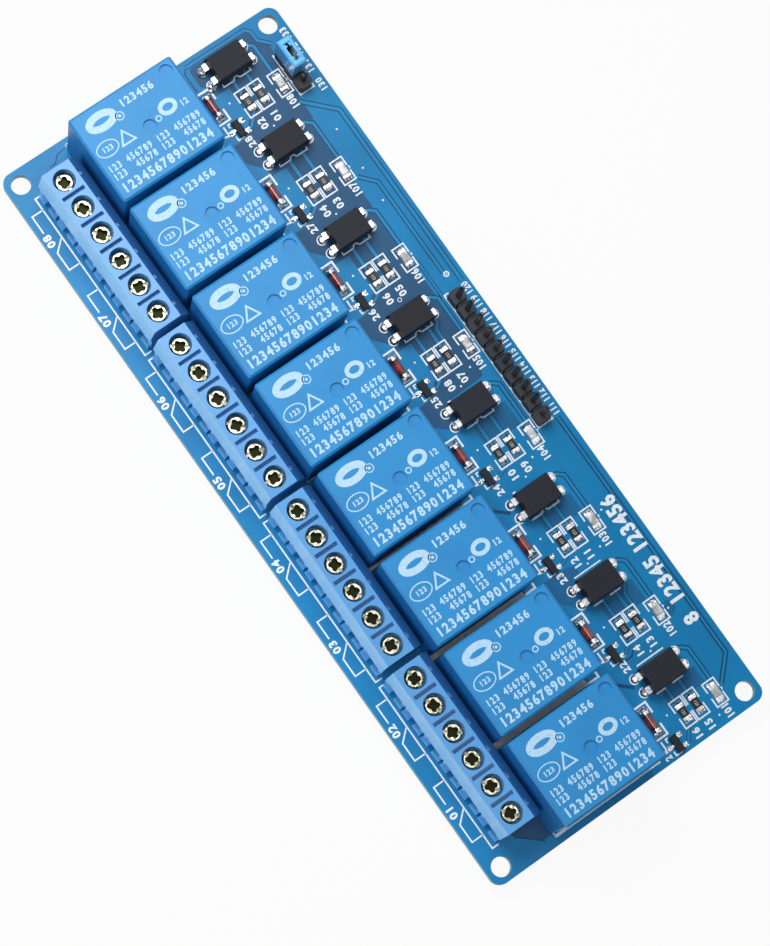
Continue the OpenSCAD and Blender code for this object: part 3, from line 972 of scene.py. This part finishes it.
    def relays(self, work: FlatWork) -> None:
        """Print the outlines that show in the gaps between the relays.

        Args:
            work: The print.
        """
        lay = self.layout
        front, back = -13.9, 6.0
        for i in range(lay.channels - 1):
            x = self.gap_x + lay.channel_pitch * i
            work.stroke([(x - 0.55, front), (x - 0.55, back), (x + 0.55, back), (x + 0.55, front)], 0.36)
            work.stroke([(x, 3.9), (x, front)], 0.78)
        x = lay.relay_x(lay.channels - 1) + 8.35
        work.stroke([(x, 6.2), (x, -14.1)], 0.5)
        work.stroke([(x + 0.2, -14.1), (x - 4.2, -14.1)], self.fine)
        work.stroke([(-66.6, -14.15), (-63.8, -14.3)], self.fine)
        work.disc(-66.35, -14.1, 0.3)

    def headers(self, work: FlatWork) -> None:
        """Print the frames and the numbers of the two headers.

        Args:
            work: The print.
        """
        base = self.layout.header_y - 1.17
        row, digit = 25.15, 1.1
        work.stroke([(-60.4, base), (-52.6, base), (-52.6, 24.0), (-53.2, 24.0)], self.frame)
        work.stroke([(-13.05, 22.2), (-13.05, base), (12.7, base), (12.7, 24.1), (12.2, 24.1)], self.frame)
        work.stroke([(10.07, base), (10.07, base + 0.45)], self.line)
        for k in range(10):
            work.number(str(120 - k), -12.05 + 2.62 * k, row, digit, Turn.UPSIDE_DOWN, 0.85)
        for k, x in enumerate((-52.2, -55.8, -59.0, -62.2)):
            work.number(str(130 + k), x, row, digit, Turn.UPSIDE_DOWN, 0.9)
        for text, x in (("8", 50.9), ("12345", 43.6), ("123456", 32.8)):
            work.number(text, x, 23.55, 2.45, Turn.UPSIDE_DOWN, 0.95, 0.76)

    def build(self, shop: PaintShop) -> None:
        """Print everything and finish it as one piece.

        Args:
            shop: Gives the print its finish.
        """
        work = FlatWork(self.level)
        for i in range(self.layout.channels):
            self.channel(work, i)
        self.contacts(work)
        self.relays(work)
        self.headers(work)
        shop.finish("board_print", work.solid(), "board_ink", "board")


# ------------------------------------------------------------------ copper


@dataclass
class Copper:
    """Tracks and clearings that show through the solder mask.

    Args:
        layout: Places of the parts.
        level: Height of the board's face.
        via: Radius of a small plated hole.
        holes: Places of the small plated holes.
    """

    layout: Layout
    level: float
    via: float = 0.17
    holes: tuple[Point, ...] = (
        (-57.7, 11.1), (-50.8, 14.9), (-41.1, 10.9), (-33.5, 14.8), (-23.8, 11.2), (-31.2, 22.3),
        (-6.9, 11.2), (-1.4, 18.05), (0.3, 15.05), (10.1, 11.25), (15.9, 17.8), (17.85, 15.1),
        (27.2, 11.2), (28.9, 21.9), (33.5, 18.3), (34.6, 15.1), (44.2, 11.25), (47.5, 21.5),
        (51.4, 15.15), (61.0, 11.3), (65.7, 18.2), (-37.3, 22.7), (-44.8, 22.9))
    fields: FlatWork = field(init=False)
    thin: FlatWork = field(init=False)
    gaps: FlatWork = field(init=False)
    runs: FlatWork = field(init=False)

    def __post_init__(self) -> None:
        """Start the four layers, each a little above the last."""
        self.fields = FlatWork(self.level, 0.006)
        self.thin = FlatWork(self.level, 0.006)
        self.gaps = FlatWork(self.level, 0.011)
        self.runs = FlatWork(self.level, 0.018)

    def track(self, points: list[Point], width: float, gap: float = 0.2) -> None:
        """Lay down a raised track with a clearing along both sides."""
        self.gaps.stroke(points, width + 2 * gap)
        self.runs.stroke(points, width)

    def notch(self, i: int) -> list[Point]:
        """Work out the lower edge of the clearing under one circuit.

        Args:
            i: Which circuit.

        Returns:
            Its corners from left to right.
        """
        lay = self.layout
        opto, chip, post = lay.opto_x(i), lay.resistor_x(i), lay.transistor_x(i)
        return [(opto - 1.2, 7.3), (opto + 1.6, 9.8), (opto + 3.1, 9.8), (opto + 3.1, 12.5),
                (chip + 2.2, 12.5), (post - 0.2, 11.9), (post + 1.9, 10.3), (post + 1.9, 7.3)]

    def clearings(self) -> None:
        """Lay down the darker fields where the laminate has no copper, and painted shadow of the power
        header.
        """
        lay = self.layout
        # From (-62.1, 21.9) to (-52.0, 21.0) the first field runs up to the power header: painted shadow of
        # the header.
        edge = [(-65.9, 19.8), (-65.4, 20.3), (-63.6, 20.4), (-62.1, 21.9), (-59.0, 21.9), (-52.0, 21.0),
                (-48.8, 20.9), (-46.8, 20.3), (-2.0, 20.3), (0.9, 18.8), (1.2, 11.6), (5.4, 11.6), (5.4, 9.9),
                (3.0, 7.3)]
        foot = [(-65.9, 9.3), (-65.4, 8.8), (-62.4, 8.8), (-61.6, 9.8), (lay.opto_x(0) + 3.1, 9.8)]
        foot += self.notch(0)[3:]
        for i in (1, 2, 3):
            foot += self.notch(i)
        self.fields.area(foot + edge[::-1])
        for i in (4, 5, 6, 7):
            opto, chip, lamp = lay.opto_x(i), lay.resistor_x(i), lay.lamp_x(i)
            self.thin.area([(opto + 2.3, 12.7), (chip - 2.0, 12.7), (chip - 2.0, 17.4), (lamp - 2.0, 19.4),
                            (opto + 2.3, 19.4)])
        opto = lay.opto_x(6)
        self.thin.area([(33.2, 7.3), (opto - 1.2, 7.3), (opto + 1.6, 9.8), (opto + 1.6, 11.4),
                        (opto - 2.5, 11.4), (opto - 2.6, 13.2), (33.8, 13.2), (33.2, 12.0)])
        self.thin.area([(46.3, 20.8), (48.9, 20.8), (48.8, 21.8), (48.0, 22.7), (47.0, 22.7), (46.3, 22.0)])
        self.fields.area([(61.9, -14.4), (65.6, -14.4), (65.5, -15.9), (62.6, -19.2), (61.9, -19.2)])

    def tracks(self) -> None:
        """Lay down the raised tracks."""
        lay = self.layout
        rows = lay.resistor_rows()
        for i in range(lay.channels):
            opto, chip, lamp, post = lay.opto_x(i), lay.resistor_x(i), lay.lamp_x(i), lay.transistor_x(i)
            for y in rows:
                self.track([(opto + 1.2, y), (chip - 1.4, y)], 0.5, 0.16)
            top = 20.35 if i else 19.75
            self.track([(opto - lay.lead, 17.6), (opto - lay.lead, top - 1.0), (opto - 0.4, top),
                        (lamp - 1.6, top)], 0.42, 0.22)
            self.track([(chip + 1.6, rows[0]), (chip + 2.5, rows[0] - 0.7), (post + 0.95, 11.6)], 0.4, 0.12)
            if i in (3, 6):
                self.track([(opto + lay.lead, 18.0), (opto + 2.6, 18.0), (opto + 3.5, 17.2),
                            (chip - 1.6, 17.1)], 0.35, 0.18)
            if i in (5, 7):
                self.gaps.stroke([(opto - 2.2, 7.5), (opto - 0.2, 9.7)], 0.55)
        self.track([(-51.8, 20.6), (-47.2, 25.15), (-13.6, 25.15)], 0.5)
        self.track([(12.9, 24.9), (58.3, 24.9), (61.9, 21.4)], 0.36, 0.26)
        self.track([(-36.6, 21.1), (-34.1, 23.4), (-16.2, 23.4)], 0.42)
        self.track([(-66.35, 8.6), (-66.35, 19.9), (-65.6, 20.65), (-63.8, 20.75), (-62.0, 22.5)], 0.42, 0.16)
        self.track([(-20.2, 21.05), (-12.9, 21.05)], 0.3, 0.16)
        self.gaps.stroke([(-66.35, 8.6), (-65.6, 7.9), (-62.0, 7.9)], 0.2)
        self.gaps.stroke([(49.4, 13.3), (50.4, 12.2), (50.4, 10.6), (49.8, 9.6)], 0.3)
        self.gaps.stroke([(65.7, -15.8), (62.6, -19.3), (61.7, -19.4)], 0.26)
        self.gaps.stroke([(-66.1, -14.7), (-65.9, -16.3), (-64.9, -17.3), (-64.8, -18.4)], 0.2)

    def vias(self, shop: PaintShop) -> None:
        """Lay down the small plated holes, which show as bright spots.

        Args:
            shop: Gives them their finish.
        """
        spots = FlatWork(self.level, 0.025)
        for x, y in self.holes:
            spots.disc(x, y, self.via, 10)
        spots.ring(-15.75, 23.7, 0.4, 0.4, 0.2, 16)
        spots.ring(-16.5, 15.1, 0.32, 0.32, 0.12, 14)
        spots.disc(-15.75, 23.7, 0.14, 10)
        shop.finish("vias", spots.solid(), "board_ink", "board")

    def build(self, shop: PaintShop) -> None:
        """Lay down the clearings and then the tracks.

        Args:
            shop: Gives each layer its finish.
        """
        self.clearings()
        self.tracks()
        shop.finish("mask_fields", self.fields.solid(), "bare_mask_and_shadow", "board")
        shop.finish("mask_thin", self.thin.solid(), "thin_mask", "board")
        shop.finish("mask_gaps", self.gaps.solid(), "gap_mask", "board")
        shop.finish("mask_tracks", self.runs.solid(), "track_mask", "board")
        self.vias(shop)


# ------------------------------------------------------------------ solder


@dataclass
class SolderWork:
    """Pads and drops of solder on the component side.

    Args:
        layout: Places of the parts.
        level: Height of the board's face.
        feet: Places of a transistor's feet from its middle.
    """

    layout: Layout
    level: float
    feet: tuple[Point, ...] = ((-0.95, 1.25), (0.95, 1.25), (0.0, -1.25))

    def drop(self, mesh: bmesh.types.BMesh, x: float, y: float, radius: float, height: float) -> None:
        """Set down one rounded drop.

        Args:
            mesh: The drops so far.
            x: Middle along X.
            y: Middle along Y.
            radius: Radius at the board.
            height: Height of its crown.
        """
        place = Matrix.Translation((x, y, self.level)) @ Matrix.Diagonal((radius, radius, height, 1.0))
        made = bmesh.ops.create_uvsphere(mesh, u_segments=20, v_segments=12, radius=1.0, matrix=place)
        for vert in made["verts"]:
            vert.co.z = max(vert.co.z, self.level)

    def build(self, shop: PaintShop) -> None:
        """Make the pads under the transistors' feet and the drops round the couplers' leads.

        Args:
            shop: Gives them their finish.
        """
        lay = self.layout
        pads = FlatWork(self.level, 0.05)
        drops = bmesh.new()
        for i in range(lay.channels):
            x = lay.transistor_x(i)
            for dx, dy in self.feet:
                pads.block(x + dx, lay.transistor_y + dy, 0.75, 0.7)
                self.drop(drops, x + dx, lay.transistor_y + dy * 1.08, 0.3, 0.22)
            for lead in (-lay.lead, lay.lead):
                self.drop(drops, lay.opto_x(i) + lead, lay.opto_y + 4.1, 0.55, 0.5)
        first = lay.opto_x(0)
        self.drop(drops, first - 1.2, lay.opto_y - 4.1, 0.85, 0.9)
        self.drop(drops, first + 1.45, lay.opto_y - 4.2, 0.62, 0.7)
        self.drop(drops, first + 1.95, lay.opto_y - 4.55, 0.5, 0.5)
        shop.finish("solder_pads", pads.solid(), "solder", "solder")
        bmesh.ops.remove_doubles(drops, verts=drops.verts, dist=1e-4)
        bmesh.ops.recalc_face_normals(drops, faces=drops.faces)
        shop.finish("solder_drops", drops, "solder", "solder", smooth=True)


# ------------------------------------------------------------------ print on parts


@dataclass
class CoverPrint:
    """Plain rings, a triangle and running numbers printed on each relay cover.

    Args:
        layout: Places of the relays.
        top: Height of the covers.
        back: Height along Y of the header side's edge.
        left: Distance from a relay's middle to its -X edge.
    """

    layout: Layout
    top: float
    back: float
    left: float = 7.7

    def cover(self, work: FlatWork, x: float, y: float) -> None:
        """Print one cover whose -X and +Y edges meet at a corner.

        Args:
            work: The print.
            x: Corner along X.
            y: Corner along Y.
        """
        work.ring(x + 2.9, y - 14.65, 1.05, 2.15, 1.15)
        work.number("123456", x + 2.25, y - 7.8, 1.25, Turn.ALONG_Y, 1.0, 0.84)
        work.ring(x + 3.75, y - 11.85, 0.66, 0.66, 0.17)
        work.disc(x + 3.75, y - 11.85, 0.25)
        work.ring(x + 6.6, y - 4.9, 0.95, 1.25, 0.7)
        work.number("12", x + 7.3, y - 2.35, 1.0, Turn.ALONG_Y, 0.9)
        work.ring(x + 7.4, y - 7.1, 0.42, 0.42, 0.2)
        work.stroke([(x + 5.85, y - 12.95), (x + 8.0, y - 11.75), (x + 8.0, y - 14.15)], 0.3, True)
        work.ring(x + 7.0, y - 16.3, 1.25, 1.85, 0.19)
        work.number("123", x + 7.0, y - 16.3, 0.85, Turn.ALONG_Y, 0.95)
        work.number("123 456789 123 456789", x + 10.0, y - 9.75, 1.12, Turn.ALONG_Y, 0.8, 0.9)
        work.number("123  45678 123  45678", x + 11.5, y - 9.75, 1.12, Turn.ALONG_Y, 0.8, 0.9)
        work.number("12345678901234", x + 13.6, y - 9.75, 1.55, Turn.ALONG_Y, 0.9, 0.86)

    def build(self, shop: PaintShop) -> None:
        """Print all the covers as one piece.

        Args:
            shop: Gives the print its finish.
        """
        work = FlatWork(self.top, 0.02)
        for i in range(self.layout.channels):
            self.cover(work, self.layout.relay_x(i) - self.left, self.back)
        shop.finish("cover_print", work.solid(), "cover_ink", "relay_case")


@dataclass
class ChipPrint:
    """Small plain numbers on the chip resistors.

    Args:
        layout: Places of the resistors.
        top: Height of the resistors.
    """

    layout: Layout
    top: float

    def build(self, shop: PaintShop) -> None:
        """Print all the resistors as one piece.

        Args:
            shop: Gives the print its finish.
        """
        work = FlatWork(self.top, 0.012)
        for i in range(self.layout.channels):
            for y in self.layout.resistor_rows():
                work.number("123", self.layout.resistor_x(i), y, 0.5, Turn.UPRIGHT, 0.8)
        shop.finish("chip_print", work.solid(), "chip_ink", "resistor_black")


# ------------------------------------------------------------------ studio


@dataclass(frozen=True)
class Lamp:
    """A square area lamp.

    Args:
        name: Name of the lamp.
        place: Where it hangs, in millimetres.
        aim: What it points at, in millimetres.
        size: Length of its side, in millimetres.
        power: Watts.
    """

    name: str
    place: Place
    aim: Place
    size: float
    power: float

    def hang(self) -> None:
        """Make the lamp and hang it in its place."""
        data = bpy.data.lights.new(self.name, "AREA")
        data.energy = self.power
        data.size = self.size * MM
        lamp = bpy.data.objects.new(self.name, data)
        bpy.context.scene.collection.objects.link(lamp)
        way = Vector(self.place) - Vector(self.aim)
        turn = way.to_track_quat("Z", "Y").to_matrix().to_4x4()
        lamp.matrix_world = Matrix.Translation(Vector(self.place) * MM) @ turn


@dataclass
class Studio:
    """Camera, lamps, world and floor.

    Args:
        eye: Place of the camera, in millimetres.
        target: Point that it looks at, in millimetres.
        up: Direction that is up in the picture.
        lens: Focal length for the sensor.
        sensor: Width of the sensor.
        sky: Strength of the light from all round.
        floor: Height of the floor, in millimetres.
        grey: Shade of the floor.
        glow: Share of plain white in the floor where it is seen or mirrored.
        lamps: The lamps.
    """

    eye: Place = (43.89, -96.81, 493.23)
    target: Place = (5.318, -4.159, 8.0)
    up: Place = (-0.81328, 0.55623, 0.17086)
    lens: float = 122.15
    sensor: float = 36.0
    sky: float = 0.15
    floor: float = -1.8
    grey: float = 0.65
    glow: float = 0.93
    lamps: tuple[Lamp, ...] = (
        Lamp("key", (-140, -5, 285), (0, 0, 0), 180, 0.77),
        Lamp("fill", (60, -70, 470), (20, 0, 0), 160, 0.42),
        Lamp("front", (0, -330, 110), (0, -20, 5), 260, 0.45))

    def camera(self) -> None:
        """Place the camera."""
        data = bpy.data.cameras.new("camera")
        data.lens = self.lens
        data.sensor_width = self.sensor
        data.clip_start = 0.01
        data.clip_end = 20.0
        camera = bpy.data.objects.new("camera", data)
        bpy.context.scene.collection.objects.link(camera)
        back = (Vector(self.eye) - Vector(self.target)).normalized()
        up = Vector(self.up)
        up = (up - back * up.dot(back)).normalized()
        right = up.cross(back)
        turn = Matrix((right, up, back)).transposed().to_4x4()
        camera.matrix_world = Matrix.Translation(Vector(self.eye) * MM) @ turn
        bpy.context.scene.camera = camera

    def world(self) -> None:
        """Make the world pale, and white where it is seen or mirrored."""
        world = bpy.data.worlds.new("world")
        bpy.context.scene.world = world
        world.use_nodes = True
        tree = world.node_tree
        tree.nodes.clear()
        output = tree.nodes.new("ShaderNodeOutputWorld")
        light = tree.nodes.new("ShaderNodeBackground")
        light.inputs["Color"].default_value = (0.93, 0.96, 1.0, 1.0)
        light.inputs["Strength"].default_value = self.sky
        seen = tree.nodes.new("ShaderNodeBackground")
        seen.inputs["Color"].default_value = (1.0, 1.0, 1.0, 1.0)
        seen.inputs["Strength"].default_value = 1.0
        mix = tree.nodes.new("ShaderNodeMixShader")
        tree.links.new(self.bright_rays(tree), mix.inputs["Fac"])
        tree.links.new(light.outputs[0], mix.inputs[1])
        tree.links.new(seen.outputs[0], mix.inputs[2])
        tree.links.new(mix.outputs[0], output.inputs["Surface"])

    def bright_rays(self, tree: bpy.types.NodeTree) -> bpy.types.NodeSocket:
        """Find out which rays see or mirror a surface.

        Args:
            tree: Node tree that the nodes go in.

        Returns:
            A socket that is 1 for camera, glossy and transmission rays.
        """
        path = tree.nodes.new("ShaderNodeLightPath")
        total = path.outputs["Is Camera Ray"]
        for name in ("Is Glossy Ray", "Is Transmission Ray"):
            most = tree.nodes.new("ShaderNodeMath")
            most.operation = "MAXIMUM"
            tree.links.new(total, most.inputs[0])
            tree.links.new(path.outputs[name], most.inputs[1])
            total = most.outputs[0]
        return total

    def ground(self) -> None:
        """Lay the pale floor that the board stands on."""
        mesh = bmesh.new()
        place = Matrix.Translation((0, 0, self.floor))
        bmesh.ops.create_grid(mesh, x_segments=1, y_segments=1, size=3000.0, matrix=place)
        bmesh.ops.scale(mesh, vec=Vector((MM, MM, MM)), verts=mesh.verts)
        data = bpy.data.meshes.new("floor")
        mesh.to_mesh(data)
        mesh.free()
        material = bpy.data.materials.new("floor")
        material.use_nodes = True
        tree = material.node_tree
        tree.nodes.clear()
        output = tree.nodes.new("ShaderNodeOutputMaterial")
        matt = tree.nodes.new("ShaderNodeBsdfDiffuse")
        matt.inputs["Color"].default_value = (self.grey, self.grey, self.grey, 1.0)
        glow = tree.nodes.new("ShaderNodeEmission")
        glow.inputs["Strength"].default_value = 1.0
        share = tree.nodes.new("ShaderNodeMath")
        share.operation = "MULTIPLY"
        share.inputs[1].default_value = self.glow
        mix = tree.nodes.new("ShaderNodeMixShader")
        tree.links.new(self.bright_rays(tree), share.inputs[0])
        tree.links.new(share.outputs[0], mix.inputs["Fac"])
        tree.links.new(matt.outputs[0], mix.inputs[1])
        tree.links.new(glow.outputs[0], mix.inputs[2])
        tree.links.new(mix.outputs[0], output.inputs["Surface"])
        data.materials.append(material)
        floor = bpy.data.objects.new("floor", data)
        bpy.context.scene.collection.objects.link(floor)

    def build(self) -> None:
        """Set up the whole studio."""
        bpy.context.scene.view_settings.view_transform = "Standard"
        self.camera()
        self.world()
        self.ground()
        for lamp in self.lamps:
            lamp.hang()


def main() -> None:
    """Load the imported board, dress it and set up the studio."""
    logging.basicConfig(level=logging.INFO, format="%(message)s")
    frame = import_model()
    shop = PaintShop({finish.name: finish for finish in FINISHES})
    shop.dress_nodes(frame["nodes"], frame["record"])
    Studio().build()
    layout = Layout()
    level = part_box("circuit_board")[1].z / MM
    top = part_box("relay_4")[1].z / MM
    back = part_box("relay_4")[1].y / MM
    Copper(layout, level).build(shop)
    BoardPrint(layout, level).build(shop)
    SolderWork(layout, level).build(shop)
    CoverPrint(layout, top, back).build(shop)
    ChipPrint(layout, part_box("resistor_bodies")[1].z / MM).build(shop)


if __name__ == "__main__":
    main()
